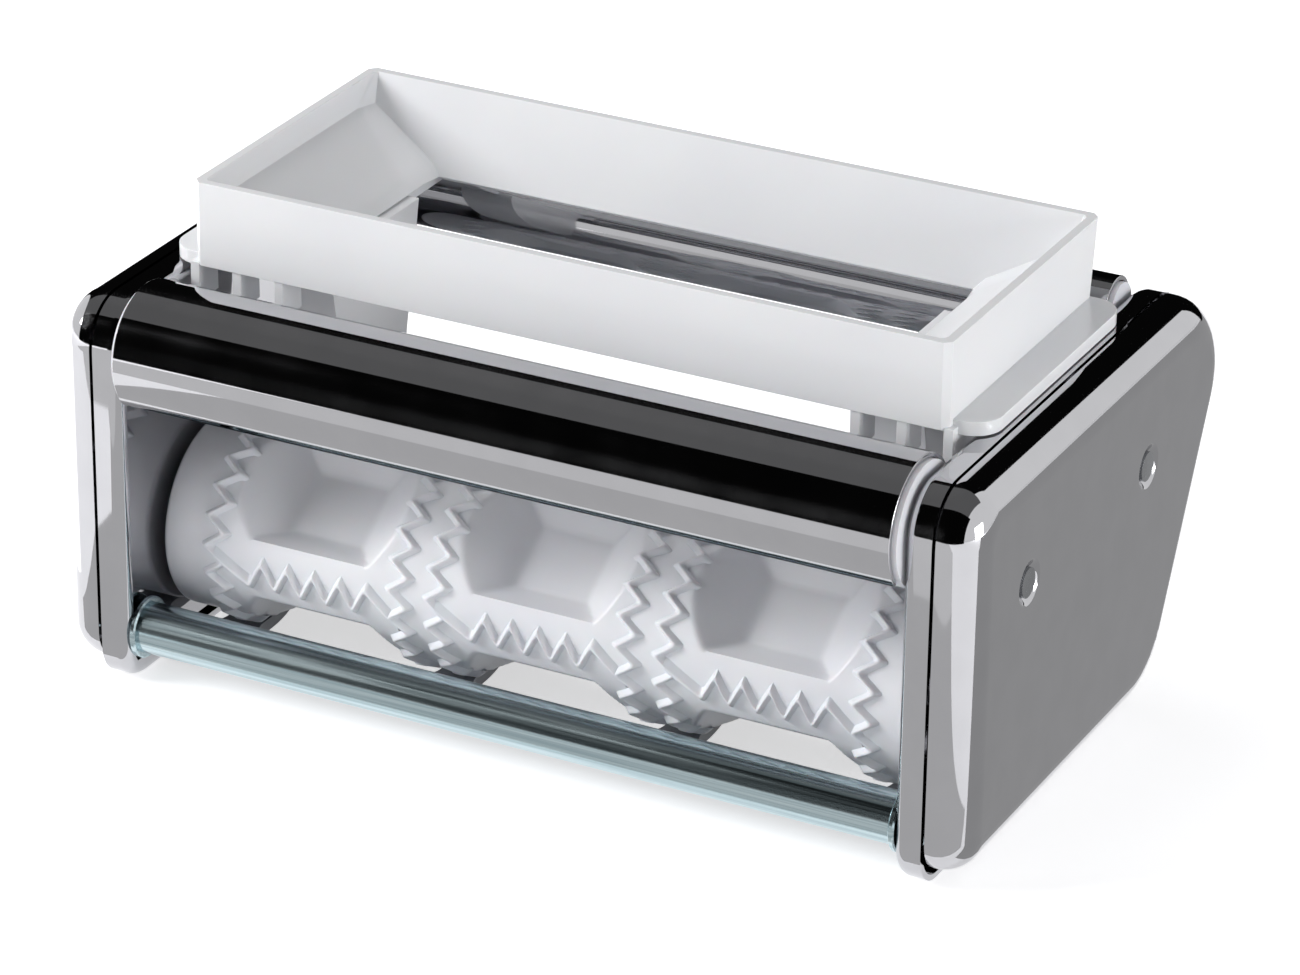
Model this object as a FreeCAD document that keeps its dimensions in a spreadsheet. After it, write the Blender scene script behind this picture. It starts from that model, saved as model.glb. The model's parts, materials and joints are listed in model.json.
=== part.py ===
# Ravioli attachment for a hand cranked pasta machine, in millimetres.
# +X runs along the rollers to the right end, -Y is the front, +Z is up.
# The origin is on the table, under the middle of the whole object.
import FreeCAD, Part
import math
import os
import Sketcher
from FreeCAD import Placement, Rotation, Vector

SIZES = {
    # side panels, seen along X
    "panel_front": -58.3,
    "panel_length": 91.5,
    "panel_height": 81.7,
    "rear_slope": 26.4,
    "front_top_radius": 10.0,
    "front_bottom_radius": 8.0,
    "rear_bottom_radius": 20.0,
    "rear_top_radius": 18.0,
    "panel_wall": 1.2,
    "plate_inner_face": 83.5,
    "plate_depth": 5.9,
    "plate_edge_radius": 2.6,
    "panel_gap": 0.7,
    "cover_depth": 8.4,
    "cover_edge_radius": 7.6,
    "cover_inside_chamfer": 4.2,
    "cover_lift": 3.0,
    # rollers
    "roller_axis_height": 26.6,
    "front_axis_place": -24.7,
    "axis_distance": 43.5,
    "roller_half_length": 83.0,
    "roller_radius": 20.0,
    "ridge_height": 1.3,
    "ridge_root": 0.4,
    "roller_fit": 0.05,
    "cell_pitch": 50.0,
    "line_offset": 4.2,
    "end_line_place": 70.8,
    "ring_amplitude": 2.2,
    "ring_base_half": 1.95,
    "ring_phase": 2.5,
    "bar_amplitude": 2.6,
    "bar_base_half": 2.2,
    "bar_step": 2.93,
    "bar_offset": 0.3,
    "bar_start_lift": 2.2,
    "bar_end_drop": 4.15,
    "pocket_length": 26.5,
    "pocket_width": 25.8,
    "pocket_mouth_height": 15.3,
    "pocket_floor_height": 10.5,
    "pocket_floor_length": 16.0,
    "pocket_floor_width": 14.0,
    "first_row_angle": -4.8,
    # axles and gears
    "axle_radius": 5.0,
    "axle_left_end": 93.9,
    "axle_right_end": 90.6,
    "socket_radius": 3.1,
    "socket_depth": 10.4,
    "socket_slot": 1.8,
    "socket_slot_depth": 6.0,
    "bush_wall": 1.8,
    "bush_flange": 2.4,
    "bush_flange_thickness": 0.7,
    "running_fit": 0.08,
    "fixed_fit": 0.15,
    "gear_pitch_radius": 21.75,
    "gear_addendum": 1.2,
    "gear_dedendum": 1.55,
    "gear_root_overlap": 0.45,
    "gear_pressure_angle": 20.0,
    "gear_width": 4.0,
    "gear_backlash": 0.3,
    "gear_side_gap": 0.3,
    "clip_groove": 0.8,
    "clip_fit": 0.1,
    "clip_thickness": 1.0,
    "clip_rim": 2.6,
    "crank_hole_radius": 8.0,
    # tie rods
    "rod_radius": 5.2,
    "front_rod_place": -51.5,
    "front_rod_height": 11.0,
    "rear_rod_place": 47.0,
    "rear_rod_height": 52.0,
    "spigot_radius": 2.5,
    "spigot_length": 3.9,
    "collar_radius": 6.3,
    "collar_width": 1.3,
    "nut_width": 8.0,
    "nut_thickness": 2.2,
    # front fender and rear guide, rolled from sheet
    "sheet": 1.0,
    "fender_radius": 13.3,
    "fender_place": -48.6,
    "fender_height": 71.3,
    "fender_front_turn": 41.0,
    "fender_rear_turn": 24.0,
    "guide_radius": 6.3,
    "guide_place": 42.5,
    "guide_height": 79.2,
    "guide_front_leg": 15.0,
    "guide_rear_leg": 5.0,
    "sheet_end_gap": 0.9,
    "plug_depth": 6.0,
    "peg_radius": 1.6,
    "guide_peg_drop": 3.0,
    # scraper combs under the rollers
    "comb_clearance": 0.8,
    "comb_thickness": 2.6,
    "comb_finger_width": 8.0,
    "comb_rail_length": 12.0,
    "comb_root_radius": 5.0,
    "comb_end_finger_place": 74.2,
    "comb_front_rail": -45.5,
    "comb_rear_rail": 21.5,
    "comb_rear_rail_length": 8.0,
    "comb_tip_turn": 38.0,
    "comb_peg_radius": 1.1,
    # hopper
    "hopper_half_length": 80.9,
    "hopper_front": -33.9,
    "hopper_rear": 36.2,
    "hopper_top": 100.8,
    "hopper_skirt_bottom": 83.2,
    "hopper_wall": 1.9,
    "slot_half_length": 58.0,
    "slot_front": -25.8,
    "slot_rear": 19.9,
    "slot_height": 87.2,
    "funnel_drop": 2.4,
    "flange_half_length": 88.4,
    "flange_front": -31.5,
    "flange_rear": 33.0,
    "flange_thickness": 2.8,
    "flange_corner": 6.0,
    "seat_gap": 0.3,
    "block_thickness": 12.0,
    "block_bottom": 42.0,
    "block_shoulder": 56.0,
    "block_top_width": 36.0,
    "block_shoulder_width": 25.0,
    "block_bottom_width": 6.0,
    "rib_thickness": 2.0,
    "rib_pitch": 9.5,
    "rib_first_place": 62.0,
    "rib_drop": 6.5,
    "rib_front": -35.6,
    "rib_length": 9.0,
    # cover screws
    "screw_front_place": -33.5,
    "screw_rear_place": 23.5,
    "screw_height": 56.2,
    "post_radius": 4.0,
    "screw_radius": 1.5,
    "screw_head_radius": 3.0,
    "screw_head_height": 1.4,
    "screw_grip": 6.0,
    "dimple_radius": 4.4,
    "dimple_depth": 1.6,
}

ROWS = 3
CELLS = 3
RING_ZIGZAGS = 21
BAR_CORNERS = 10
GEAR_TEETH = 29

doc = FreeCAD.newDocument("RavioliMaker")
sheet = doc.addObject("Spreadsheet::Sheet", "Sizes")
for row, (word, number) in enumerate(SIZES.items(), start=1):
    sheet.set("A%d" % row, word)
    sheet.set("B%d" % row, str(number))
    sheet.setAlias("B%d" % row, word)
doc.recompute()

ALONG_X = Rotation(Vector(0, 1, 0), 90)
nodes = []


def size(word):
    return getattr(sheet, word)


# The value of a sum or difference of sheet words, such as Sizes.a - Sizes.b.
def value_of(formula):
    total, sign = 0.0, 1
    for piece in formula.split():
        if piece in "+-":
            sign = 1 if piece == "+" else -1
        else:
            total += sign * size(piece.replace("Sizes.", ""))
    return total


def bind(thing, **formulas):
    for name, formula in formulas.items():
        thing.setExpression(name.replace("__", "."), formula)
    return thing


def node(thing, label):
    thing.Label = label
    nodes.append(thing)
    return thing


def place(thing, across="0", along="0", up="0", turn=None):
    if turn is not None:
        thing.Placement = Placement(Vector(), turn)
    return bind(thing, Placement__Base__x=across, Placement__Base__y=along, Placement__Base__z=up)


# Round bars start at the given point and run along +X.
def bar(name, radius, length, across, along, up):
    made = doc.addObject("Part::Cylinder", name)
    bind(made, Radius=radius, Height=length)
    return place(made, across, along, up, ALONG_X)


def box(name, length, width, height, across, along, up):
    made = doc.addObject("Part::Box", name)
    bind(made, Length=length, Width=width, Height=height)
    return place(made, across, along, up)


def fuse(name, *pieces):
    made = doc.addObject("Part::MultiFuse", name)
    made.Shapes = list(pieces)
    made.Refine = True
    return made


# Several like pieces that share one node.
def group(name, pieces):
    made = doc.addObject("Part::Compound", name)
    made.Links = pieces
    return made


def cut(name, base, *tools):
    made = doc.addObject("Part::Cut", name)
    made.Base = base
    made.Tool = tools[0] if len(tools) == 1 else fuse(name + "Tools", *tools)
    return made


def is_upright(edge):
    return abs(edge.tangentAt(edge.FirstParameter).z) > 0.99


def rounded(name, base, radius, test):
    doc.recompute()
    made = doc.addObject("Part::Fillet", name)
    made.Base = base
    made.Edges = [(i + 1, radius, radius) for i, edge in enumerate(base.Shape.Edges) if test(edge)]
    return made


def edges(feature, test):
    return ["Edge%d" % (i + 1) for i, edge in enumerate(feature.Shape.Edges) if test(edge)]


# True for an edge along X that passes through the given point.
def near_line(edge, point):
    middle = edge.CenterOfMass
    return math.hypot(middle.y - point.y, middle.z - point.z) < 0.01


# A closed outline whose corners sit at the given pairs of formulas, measured from the sketch origin.
def outline(sketch, corners):
    total = len(corners)
    rough = [Vector(9 + 5 * i, 3 * i * i, 0) for i in range(total)]
    for i in range(total):
        sketch.addGeometry(Part.LineSegment(rough[i], rough[(i + 1) % total]))
    for i in range(total):
        sketch.addConstraint(Sketcher.Constraint("Coincident", i, 2, (i + 1) % total, 1))
    for i, corner in enumerate(corners):
        for kind, formula in zip(("DistanceX", "DistanceY"), corner):
            number = sketch.addConstraint(Sketcher.Constraint(kind, -1, 1, i, 1, 10.0 + i))
            sketch.setExpression("Constraints[%d]" % number, formula)


def sketch_on(body, role, name):
    sketch = body.newObject("Sketcher::SketchObject", name)
    plane = [item for item in body.Origin.OriginFeatures if item.Role == role][0]
    sketch.AttachmentSupport = (plane, "")
    sketch.MapMode = "FlatFace"
    return sketch


def pad(body, sketch, length, name, backward=False):
    made = body.newObject("PartDesign::Pad", name)
    made.Profile = sketch
    made.Reversed = backward
    bind(made, Length=length)
    doc.recompute()
    return made


def round_edges(body, feature, found, radius, name):
    fillet = body.newObject("PartDesign::Fillet", name)
    fillet.Base = (feature, found)
    bind(fillet, Radius=radius)
    doc.recompute()
    return fillet


def chamfer_edges(body, feature, found, width, name):
    chamfer = body.newObject("PartDesign::Chamfer", name)
    chamfer.Base = (feature, found)
    bind(chamfer, Size=width)
    doc.recompute()
    return chamfer


def side_name(side):
    return "left" if side < 0 else "right"


# The lower X end of a piece that runs outward from start on the given side.
def outward(side, start, length):
    return start if side > 0 else "-(%s) - (%s)" % (start, length)


FRONT_AXIS = "Sizes.front_axis_place"
REAR_AXIS = "Sizes.front_axis_place + Sizes.axis_distance"
AXES = {"front": FRONT_AXIS, "rear": REAR_AXIS}
AXIS_UP = "Sizes.roller_axis_height"
PLATE_OUT = "Sizes.plate_inner_face + Sizes.panel_wall"
COVER_RIM = "Sizes.plate_inner_face + Sizes.plate_depth + Sizes.panel_gap"
COVER_OUT = COVER_RIM + " + Sizes.cover_depth"
BUSH_RADIUS = "Sizes.axle_radius + Sizes.running_fit + Sizes.bush_wall"
SCREW_PLACES = {"front": "Sizes.screw_front_place", "rear": "Sizes.screw_rear_place"}
ROD_PLACES = {
    "front": ("Sizes.front_rod_place", "Sizes.front_rod_height"),
    "rear": ("Sizes.rear_rod_place", "Sizes.rear_rod_height"),
}
SHEET_PLACES = {
    "fender": ("Sizes.fender_place", "Sizes.fender_height", "Sizes.fender_radius"),
    "guide": ("Sizes.guide_place", "Sizes.guide_height", "Sizes.guide_radius"),
}
COMB_PEGS = {
    "front": "Sizes.comb_front_rail + Sizes.comb_rail_length / 2",
    "rear": "Sizes.comb_rear_rail + Sizes.comb_rear_rail_length / 2",
}
COMB_RADIUS = "(Sizes.roller_radius + Sizes.ridge_height + Sizes.comb_clearance)"
COMB_UNDER = "Sizes.roller_axis_height - %s - Sizes.comb_thickness" % COMB_RADIUS
COMB_PEG_UP = "Sizes.roller_axis_height - %s - Sizes.comb_thickness / 2" % COMB_RADIUS
SHEET_PEGS = {"fender": "Sizes.fender_height", "guide": "Sizes.guide_height - Sizes.guide_peg_drop"}
NIP = "Sizes.front_axis_place + Sizes.axis_distance / 2"

# Side panels: a shallow inner plate and a deeper outer cover, pressed pans that meet rim to rim.


# A block with the panel outline drawn in by inset and its foot raised by lift.
# It starts at X 0. Its rim is at X 0 or at its far end, and is finished last.
def panel_block(name, side, depth, rim_far, inset, lift):
    body = doc.addObject("PartDesign::Body", name)
    sketch = sketch_on(body, "YZ_Plane", name + "Outline")
    low = "%s + %s" % (inset, lift)
    high = "Sizes.panel_height - %s" % inset
    reach = "Sizes.panel_length + (%s) * tan(Sizes.rear_slope) - %s / cos(Sizes.rear_slope)"
    outline(sketch, [(inset, low), (reach % (low, inset), low), (reach % (high, inset), high), (inset, high)])
    feature = pad(body, sketch, depth, name + "Pad", backward=side < 0)
    corners = [vertex.Point for vertex in sketch.Shape.Vertexes]
    words = ("front_bottom_radius", "rear_bottom_radius", "rear_top_radius", "front_top_radius")
    for word, corner in zip(words, corners):
        found = edges(feature, lambda edge: near_line(edge, corner))
        feature = round_edges(body, feature, found, "Sizes.%s - %s" % (word, inset), name + "Corner")
    body.Tip = feature
    rim_at = side * value_of(depth) if rim_far else 0.0
    return body, edges(feature, lambda edge: abs(edge.CenterOfMass.x - rim_at) < 0.01)


# The inside of a deep pan is only chamfered at its rim, because nothing shows it.
def panel_pan(name, side, start, depth, rim_radius, rim_far, lift):
    wall = "Sizes.panel_wall"
    shell, rim = panel_block(name + "Shell", side, depth, rim_far, "0 * " + wall, lift)
    shell.Tip = round_edges(shell, shell.Tip, rim, rim_radius, name + "Rim")
    hollow, rim = panel_block(name + "Hollow", side, depth + " - " + wall, rim_far, wall, lift)
    if rim_far:
        hollow.Tip = chamfer_edges(hollow, hollow.Tip, rim, "Sizes.cover_inside_chamfer", name + "InsideRim")
    sign = "-1 * (%s)" if side < 0 else "%s"
    place(shell, sign % start, "Sizes.panel_front", "0")
    place(hollow, sign % (start if rim_far else start + " + " + wall), "Sizes.panel_front", "0")
    return cut(name, shell, hollow)


# A round hole through a pressed wall that starts at the given X on its side.
def wall_hole(name, side, radius, start, along, up):
    return bar(name, radius, "3 * Sizes.panel_wall", outward(side, start + " - Sizes.panel_wall",
               "3 * Sizes.panel_wall"), along, up)


for side in (-1, 1):
    name = side_name(side)
    inner = "Sizes.plate_inner_face"
    pan = panel_pan(name + "Plate", side, inner, "Sizes.plate_depth", "Sizes.plate_edge_radius", False, "0")
    holes = []
    for end, axis in AXES.items():
        radius = BUSH_RADIUS + " + Sizes.fixed_fit"
        holes.append(wall_hole(name + end + "BushHole", side, radius, inner, axis, AXIS_UP))
        along, up = ROD_PLACES[end]
        radius = "Sizes.spigot_radius + Sizes.fixed_fit"
        holes.append(wall_hole(name + end + "RodHole", side, radius, inner, along, up))
        radius = "Sizes.comb_peg_radius + Sizes.fixed_fit"
        holes.append(wall_hole(name + end + "CombHole", side, radius, inner, COMB_PEGS[end], COMB_PEG_UP))
        radius = "Sizes.peg_radius + Sizes.fixed_fit"
        holes.append(wall_hole(name + end + "PostHole", side, radius, inner, SCREW_PLACES[end],
                               "Sizes.screw_height"))
    for part, up in SHEET_PEGS.items():
        along = SHEET_PLACES[part][0]
        radius = "Sizes.peg_radius + Sizes.fixed_fit"
        holes.append(wall_hole(name + part + "PegHole", side, radius, inner, along, up))
    node(cut(name + "InnerPlate", pan, *holes), name + "_inner_plate")

posts = []
screws = []
for side in (-1, 1):
    name = side_name(side)
    pan = panel_pan(name + "Cover", side, COVER_RIM, "Sizes.cover_depth", "Sizes.cover_edge_radius", True,
                    "Sizes.cover_lift")
    face = COVER_OUT + " - Sizes.panel_wall"
    seat = COVER_OUT + " - Sizes.dimple_depth"
    bosses = []
    holes = []
    for end, along in SCREW_PLACES.items():
        up = "Sizes.screw_height"
        boss = bar(name + end + "Boss", "Sizes.dimple_radius + Sizes.panel_wall", "Sizes.dimple_depth",
                   outward(side, face + " - Sizes.dimple_depth", "Sizes.dimple_depth"), along, up)
        bosses.append(boss)
        dimple = doc.addObject("Part::Cone", name + end + "Dimple")
        deep, wide = ("Radius1", "Radius2") if side > 0 else ("Radius2", "Radius1")
        bind(dimple, Height="Sizes.dimple_depth")
        dimple.setExpression(deep, "Sizes.screw_head_radius + Sizes.fixed_fit")
        dimple.setExpression(wide, "Sizes.dimple_radius")
        place(dimple, outward(side, seat, "Sizes.dimple_depth"), along, up, ALONG_X)
        holes.append(dimple)
        holes.append(wall_hole(name + end + "ScrewHole", side, "Sizes.screw_radius + Sizes.fixed_fit",
                               seat + " - Sizes.panel_wall", along, up))
    if side < 0:
        holes.append(wall_hole("CrankHole", side, "Sizes.crank_hole_radius", face, FRONT_AXIS, AXIS_UP))
    node(cut(name + "OuterCover", fuse(name + "CoverBody", pan, *bosses), *holes), name + "_outer_cover")

    for end, along in SCREW_PLACES.items():
        up = "Sizes.screw_height"
        under = seat + " - Sizes.panel_wall"
        length = "%s - (%s)" % (under, PLATE_OUT)
        sleeve = bar(name + end + "Sleeve", "Sizes.post_radius", length, outward(side, PLATE_OUT, length),
                     along, up)
        peg = bar(name + end + "SleevePeg", "Sizes.peg_radius", "Sizes.panel_wall",
                  outward(side, "Sizes.plate_inner_face", "Sizes.panel_wall"), along, up)
        bore = bar(name + end + "SleeveBore", "Sizes.screw_radius + Sizes.fixed_fit", "Sizes.screw_grip",
                   outward(side, under + " - Sizes.screw_grip", "Sizes.screw_grip"), along, up)
        posts.append(cut(name + end + "Post", fuse(name + end + "PostBody", sleeve, peg), bore))
        head = bar(name + end + "ScrewHead", "Sizes.screw_head_radius", "Sizes.screw_head_height",
                   outward(side, seat, "Sizes.screw_head_height"), along, up)
        length = "Sizes.screw_grip + Sizes.panel_wall - Sizes.fixed_fit"
        shank = bar(name + end + "ScrewShank", "Sizes.screw_radius", length,
                    outward(side, seat + " - (%s)" % length, length), along, up)
        screws.append(fuse(name + end + "Screw", head, shank))
node(group("CoverPosts", posts), "cover_posts")
node(group("CoverScrews", screws), "cover_screws")

# Tie rods, with a collar and a threaded spigot at each end, and the nuts inside the plates.

nuts = []
for end, (along, up) in ROD_PLACES.items():
    half = "(Sizes.plate_inner_face - Sizes.fixed_fit)"
    pieces = [bar(end + "RodBar", "Sizes.rod_radius", "2 * " + half, "-" + half, along, up)]
    for side in (-1, 1):
        name = end + side_name(side)
        pieces.append(bar(name + "Collar", "Sizes.collar_radius", "Sizes.collar_width",
                          outward(side, half + " - Sizes.collar_width", "Sizes.collar_width"), along, up))
        pieces.append(bar(name + "Spigot", "Sizes.spigot_radius", "Sizes.spigot_length",
                          outward(side, half, "Sizes.spigot_length"), along, up))
        nut = doc.addObject("Part::Prism", name + "NutBlock")
        nut.Polygon = 6
        bind(nut, Circumradius="Sizes.nut_width / 2 / cos(30)", Height="Sizes.nut_thickness")
        place(nut, outward(side, PLATE_OUT, "Sizes.nut_thickness"), along, up, ALONG_X)
        bore = bar(name + "NutBore", "Sizes.spigot_radius + Sizes.fixed_fit", "Sizes.nut_thickness",
                   outward(side, PLATE_OUT, "Sizes.nut_thickness"), along, up)
        nuts.append(cut(name + "Nut", nut, bore))
    node(fuse(end + "TieRod", *pieces), end + "_tie_rod")
node(group("RodNuts", nuts), "tie_rod_nuts")

# The front fender and the rear guide are strips of sheet rolled round their end plugs.

SHEET_HALF = "(Sizes.plate_inner_face - Sizes.sheet_end_gap)"


def rolled_strip(name, part, before_turn, after_turn):
    along, up, radius = SHEET_PLACES[part]
    roll = bar(name + "Roll", radius, "2 * " + SHEET_HALF, "-" + SHEET_HALF, along, up)
    bind(roll, Angle="180 + %s + %s" % (before_turn, after_turn))
    angle = 90 - value_of(after_turn) if "Sizes" in after_turn else 90
    roll.Placement = Placement(Vector(), Rotation(Vector(1, 0, 0), angle) * ALONG_X)
    inside = bar(name + "Inside", radius + " - Sizes.sheet", "2 * " + SHEET_HALF, "-" + SHEET_HALF, along, up)
    return cut(name + "Curl", roll, inside)


node(rolled_strip("Fender", "fender", "Sizes.fender_front_turn", "Sizes.fender_rear_turn"), "front_fender")

along, up, radius = SHEET_PLACES["guide"]
front_leg = box("GuideFrontLeg", "2 * " + SHEET_HALF, "Sizes.sheet", "Sizes.guide_front_leg", "-" + SHEET_HALF,
                along + " - " + radius, up + " - Sizes.guide_front_leg")
rear_leg = box("GuideRearLeg", "2 * " + SHEET_HALF, "Sizes.sheet", "Sizes.guide_rear_leg", "-" + SHEET_HALF,
               along + " + " + radius + " - Sizes.sheet", up + " - Sizes.guide_rear_leg")
node(fuse("RearGuide", rolled_strip("Guide", "guide", "0", "0"), front_leg, rear_leg), "rear_guide")

for part, (along, up, radius) in SHEET_PLACES.items():
    for side in (-1, 1):
        name = side_name(side) + part
        face = "Sizes.plate_inner_face"
        disc = bar(name + "PlugDisc", radius + " - Sizes.sheet - Sizes.fixed_fit", "Sizes.plug_depth",
                   outward(side, face + " - Sizes.plug_depth", "Sizes.plug_depth"), along, up)
        peg = bar(name + "PlugPeg", "Sizes.peg_radius", "Sizes.panel_wall",
                  outward(side, face, "Sizes.panel_wall"), along, SHEET_PEGS[part])
        node(fuse(name + "Plug", disc, peg), "%s_%s_plug" % (side_name(side), part))

# Scraper combs: a rail pegged between the plates, with curved fingers that reach under the roller.

COMB_RAILS = {
    "front": ("Sizes.comb_front_rail", "Sizes.comb_rail_length"),
    "rear": ("Sizes.comb_rear_rail", "Sizes.comb_rear_rail_length"),
}
FINGERS = ["-Sizes.comb_end_finger_place", "-Sizes.cell_pitch / 2", "Sizes.cell_pitch / 2",
           "Sizes.comb_end_finger_place"]


# The hollow curved flare where a finger grows out of its rail at the given line.
def finger_root(name, middle, line):
    radius = "Sizes.comb_root_radius"
    width = "(Sizes.comb_finger_width + 2 * %s)" % radius
    block = box(name + "Root", width, radius, "Sizes.comb_thickness", "%s - %s / 2" % (middle, width), line,
                COMB_UNDER)
    scoops = []
    for sign in "-+":
        scoop = doc.addObject("Part::Cylinder", name + "Scoop")
        bind(scoop, Radius=radius, Height="Sizes.comb_thickness")
        start = "%s %s %s / 2" % (middle, sign, width)
        scoops.append(place(scoop, start, "%s + %s" % (line, radius), COMB_UNDER))
    return cut(name + "RootCut", block, *scoops)


def comb(end):
    axis = AXES[end]
    rail, length = COMB_RAILS[end]
    half = "(Sizes.plate_inner_face - Sizes.fixed_fit)"
    pieces = [box(end + "CombRail", "2 * " + half, length, "Sizes.comb_thickness", "-" + half, rail,
                  COMB_UNDER)]
    for number, middle in enumerate(FINGERS):
        name = "%sFinger%d" % (end, number)
        start = middle + " - Sizes.comb_finger_width / 2"
        hook = bar(name + "Hook", COMB_RADIUS + " + Sizes.comb_thickness", "Sizes.comb_finger_width", start,
                   axis, AXIS_UP)
        bind(hook, Angle="Sizes.comb_tip_turn")
        angle = 0 if end == "front" else -size("comb_tip_turn")
        hook.Placement = Placement(Vector(), Rotation(Vector(1, 0, 0), angle) * ALONG_X)
        if end == "front":
            near, reach = rail, "%s - (%s)" % (axis, rail)
        else:
            near, reach = axis, "%s + %s - (%s)" % (rail, length, axis)
        arm = box(name + "Arm", "Sizes.comb_finger_width", reach, "Sizes.comb_thickness", start, near,
                  COMB_UNDER)
        pieces += [hook, arm]
        if end == "front":
            pieces.append(finger_root(name, middle, "%s + %s" % (rail, length)))
    for side in (-1, 1):
        reach = "Sizes.panel_wall + Sizes.fixed_fit"
        pieces.append(bar("%s%sCombPeg" % (end, side_name(side)), "Sizes.comb_peg_radius", reach,
                          outward(side, half, reach), COMB_PEGS[end], COMB_PEG_UP))
    clear = bar(end + "CombClear", COMB_RADIUS, "2 * " + half, "-" + half, axis, AXIS_UP)
    return cut(end + "Comb", fuse(end + "CombBody", *pieces), clear)


for end in AXES:
    node(comb(end), end + "_scraper_comb")

# Axles with their bushes, clips and gears.

GEAR_START = PLATE_OUT + " + Sizes.bush_flange_thickness + Sizes.gear_side_gap"
GEAR_END = GEAR_START + " + Sizes.gear_width + Sizes.gear_side_gap"
AXLE_LEFT_ENDS = {"front": "Sizes.axle_left_end", "rear": "Sizes.axle_right_end"}
CLIP_STARTS = {-1: GEAR_END, 1: GEAR_START}

bushes = []
for end, axis in AXES.items():
    left = AXLE_LEFT_ENDS[end]
    body = bar(end + "AxleBar", "Sizes.axle_radius", "%s + Sizes.axle_right_end" % left, "-" + left, axis,
               AXIS_UP)
    tools = []
    clips = []
    for side in (-1, 1):
        name = end + side_name(side)
        width = "Sizes.clip_thickness + 2 * Sizes.clip_fit"
        start = outward(side, CLIP_STARTS[side] + " - Sizes.clip_fit", width)
        around = bar(name + "GrooveOutside", "Sizes.axle_radius + Sizes.clip_rim", width, start, axis, AXIS_UP)
        core = bar(name + "GrooveCore", "Sizes.axle_radius - Sizes.clip_groove", width, start, axis, AXIS_UP)
        tools.append(cut(name + "Groove", around, core))
        start = outward(side, CLIP_STARTS[side], "Sizes.clip_thickness")
        ring = bar(name + "ClipDisc", "Sizes.axle_radius + Sizes.clip_rim", "Sizes.clip_thickness", start, axis,
                   AXIS_UP)
        eye = bar(name + "ClipEye", "Sizes.axle_radius - Sizes.clip_groove + Sizes.clip_fit",
                  "Sizes.clip_thickness", start, axis, AXIS_UP)
        clips.append(cut(name + "Clip", ring, eye))
        start = outward(side, "Sizes.plate_inner_face", "Sizes.panel_wall")
        sleeve = bar(name + "BushSleeve", BUSH_RADIUS, "Sizes.panel_wall", start, axis, AXIS_UP)
        start = outward(side, PLATE_OUT, "Sizes.bush_flange_thickness")
        flange = bar(name + "BushFlange", BUSH_RADIUS + " + Sizes.bush_flange", "Sizes.bush_flange_thickness",
                     start, axis, AXIS_UP)
        length = "Sizes.panel_wall + Sizes.bush_flange_thickness"
        bore = bar(name + "BushBore", "Sizes.axle_radius + Sizes.running_fit", length,
                   outward(side, "Sizes.plate_inner_face", length), axis, AXIS_UP)
        bushes.append(cut(name + "Bush", fuse(name + "BushBody", sleeve, flange), bore))
    if end == "front":
        tools.append(bar("SocketBore", "Sizes.socket_radius", "Sizes.socket_depth", "-" + left, axis, AXIS_UP))
        tools.append(box("SocketSlot", "Sizes.socket_slot_depth", "2 * Sizes.axle_radius", "Sizes.socket_slot",
                         "-" + left, axis + " - Sizes.axle_radius", AXIS_UP + " - Sizes.socket_slot / 2"))
    node(cut(end + "Axle", body, *tools), end + "_roller_axle")
    node(group(end + "AxleClips", clips), end + "_axle_clips")
node(group("AxleBushes", bushes), "axle_bushes")


# A spur gear with one tooth pointing to the rear, so an odd count meshes with its twin.
def spur_gear(name):
    body = doc.addObject("PartDesign::Body", name)
    rim = sketch_on(body, "YZ_Plane", name + "Rim")
    rim.addGeometry(Part.Circle(Vector(), Vector(0, 0, 1), 10))
    rim.addConstraint(Sketcher.Constraint("Coincident", 0, 3, -1, 1))
    rim.addConstraint(Sketcher.Constraint("Radius", 0, 10))
    rim.setExpression("Constraints[1]", "Sizes.gear_pitch_radius - Sizes.gear_dedendum")
    pad(body, rim, "Sizes.gear_width", name + "Disc")
    tooth = sketch_on(body, "YZ_Plane", name + "ToothOutline")
    pitch_half = "(pi * Sizes.gear_pitch_radius / %d - Sizes.gear_backlash) / 2" % GEAR_TEETH
    sunk = "(Sizes.gear_dedendum + Sizes.gear_root_overlap)"
    root = "Sizes.gear_pitch_radius - " + sunk
    tip = "Sizes.gear_pitch_radius + Sizes.gear_addendum"
    root_half = "(%s + %s * tan(Sizes.gear_pressure_angle))" % (pitch_half, sunk)
    tip_half = "(%s - Sizes.gear_addendum * tan(Sizes.gear_pressure_angle))" % pitch_half
    outline(tooth, [(root, "-" + root_half), (tip, "-" + tip_half), (tip, tip_half), (root, root_half)])
    single = pad(body, tooth, "Sizes.gear_width", name + "Tooth")
    pattern = body.newObject("PartDesign::PolarPattern", name + "Teeth")
    pattern.Originals = [single]
    axis = [item for item in body.Origin.OriginFeatures if item.Role == "X_Axis"][0]
    pattern.Axis = (axis, [""])
    pattern.Angle = 360
    pattern.Occurrences = GEAR_TEETH
    body.Tip = pattern
    doc.recompute()
    return body


for end, label in (("front", "drive_gear"), ("rear", "driven_gear")):
    gear = spur_gear(end + "Gear")
    place(gear, outward(-1, GEAR_START, "Sizes.gear_width"), AXES[end], AXIS_UP)
    bore = bar(end + "GearBore", "Sizes.axle_radius + Sizes.roller_fit", "Sizes.gear_width",
               outward(-1, GEAR_START, "Sizes.gear_width"), AXES[end], AXIS_UP)
    node(cut(end + "GearBored", gear, bore), label)

# Forming rollers: a core with three rows of pockets, ringed and barred by zigzag cutting ridges.
# The core is drawn on the X axis with its first bar pointing to -Y.


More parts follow.
